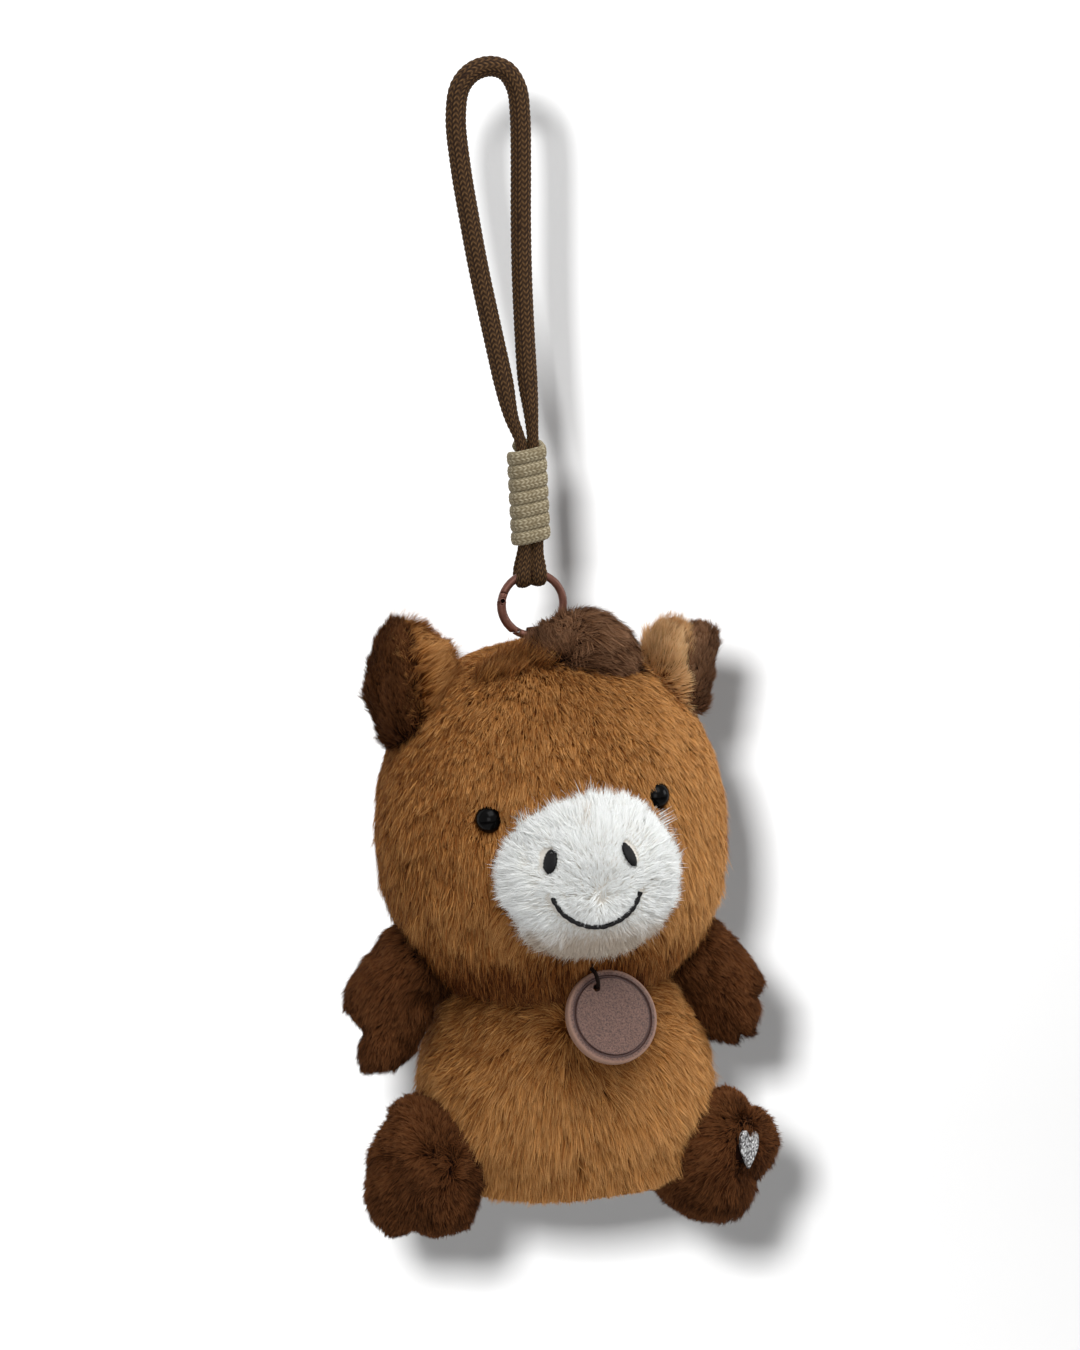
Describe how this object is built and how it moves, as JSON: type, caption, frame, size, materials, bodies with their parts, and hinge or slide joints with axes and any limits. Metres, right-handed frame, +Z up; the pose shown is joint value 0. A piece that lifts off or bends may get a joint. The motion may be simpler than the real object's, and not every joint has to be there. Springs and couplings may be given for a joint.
{
  "type": "plush pony charm",
  "caption": "Seated plush pony with a white muzzle and dark limbs, hung by a sprung ring from a braided wrist strap, with a round leather tag.",
  "frame": {"origin": "inside top of the strap's loop, where a hook or a finger holds it", "axes": "+Z up along the hanging line, the toy faces -Y, so its own left side is +X"},
  "size_m": [0.1187, 0.1123, 0.3299],
  "materials": {
    "strap": "braided round cord",
    "whipping": "braided round cord",
    "ring": "satin brown coating",
    "steel": "plain spring wire",
    "tab": "woven tape",
    "caramel_plush": "long soft pile",
    "dark_plush": "long soft pile",
    "white_plush": "long soft pile",
    "stuffing": "polyester wadding",
    "thread": "embroidery thread",
    "eye": "polished black",
    "washer": "moulded",
    "glitter": "silver glitter film",
    "leather": "matt, finely speckled"
  },
  "bodies": {
    "strap": {"strap_cord": "strap", "whipping": "whipping"},
    "ring": {"ring_body": "ring", "gate_pin": "ring"},
    "gate": {"ring_gate": "ring", "gate_spring": "steel"},
    "toy": {"hang_tab": "tab", "head_skin": "caramel_plush", "head_fill": "stuffing", "muzzle_skin": "white_plush", "muzzle_fill": "stuffing", "forelock": "dark_plush", "mane": "dark_plush", "smile_stitch": "thread", "body_skin": "caramel_plush", "body_fill": "stuffing", "tail": "dark_plush", "eye_left": "eye", "eye_washer_left": "washer", "nostril_left": "thread", "ear_left_back": "caramel_plush", "ear_left_lining": "dark_plush", "eye_right": "eye", "eye_washer_right": "washer", "nostril_right": "thread", "ear_right_back": "caramel_plush", "ear_right_lining": "dark_plush"},
    "tag": {"tag_disc": "leather", "tag_string": "thread"},
    "arm_left": {"arm_left_skin": "dark_plush", "arm_left_fill": "stuffing"},
    "arm_right": {"arm_right_skin": "dark_plush", "arm_right_fill": "stuffing"},
    "leg_left": {"leg_left_skin": "dark_plush", "leg_left_fill": "stuffing", "sole_heart": "glitter"},
    "leg_right": {"leg_right_skin": "dark_plush", "leg_right_fill": "stuffing"}
  },
  "joints": [
    {"name": "ring_turn", "type": "hinge", "parent": "strap", "child": "ring", "pos_m": [0, 0, -0.1451], "axis": [0, 1, 0], "range_deg": [-22, 22]},
    {"name": "gate_hinge", "type": "hinge", "parent": "ring", "child": "gate", "pos_m": [-0.00849, 0, -0.14298], "axis": [0, 1, 0], "range_deg": [-25, 0], "stiffness_Nm_per_rad": 0.002, "springref_deg": 11.46},
    {"name": "toy_nod", "type": "hinge", "parent": "ring", "child": "toy", "pos_m": [0, 0, -0.15385], "axis": [1, 0, 0], "range_deg": [-30, 30]},
    {"name": "tag_swing", "type": "hinge", "parent": "toy", "child": "tag", "pos_m": [0.0018, -0.0353, -0.2386], "axis": [1, 0, 0], "range_deg": [-60, 0]},
    {"name": "arm_left_lift", "type": "hinge", "parent": "toy", "child": "arm_left", "pos_m": [0.0294, -0.0008, -0.2541], "axis": [1, 0, 0], "range_deg": [-30, 10], "stiffness_Nm_per_rad": 0.02},
    {"name": "arm_right_lift", "type": "hinge", "parent": "toy", "child": "arm_right", "pos_m": [-0.0341, -0.0008, -0.2476], "axis": [1, 0, 0], "range_deg": [-30, 10], "stiffness_Nm_per_rad": 0.02},
    {"name": "leg_left_lift", "type": "hinge", "parent": "toy", "child": "leg_left", "pos_m": [0.0302, -0.0058, -0.3057], "axis": [1, 0, 0], "range_deg": [-12, 12], "stiffness_Nm_per_rad": 0.03},
    {"name": "leg_right_lift", "type": "hinge", "parent": "toy", "child": "leg_right", "pos_m": [-0.0361, -0.0058, -0.297], "axis": [1, 0, 0], "range_deg": [-12, 12], "stiffness_Nm_per_rad": 0.03}
  ]
}
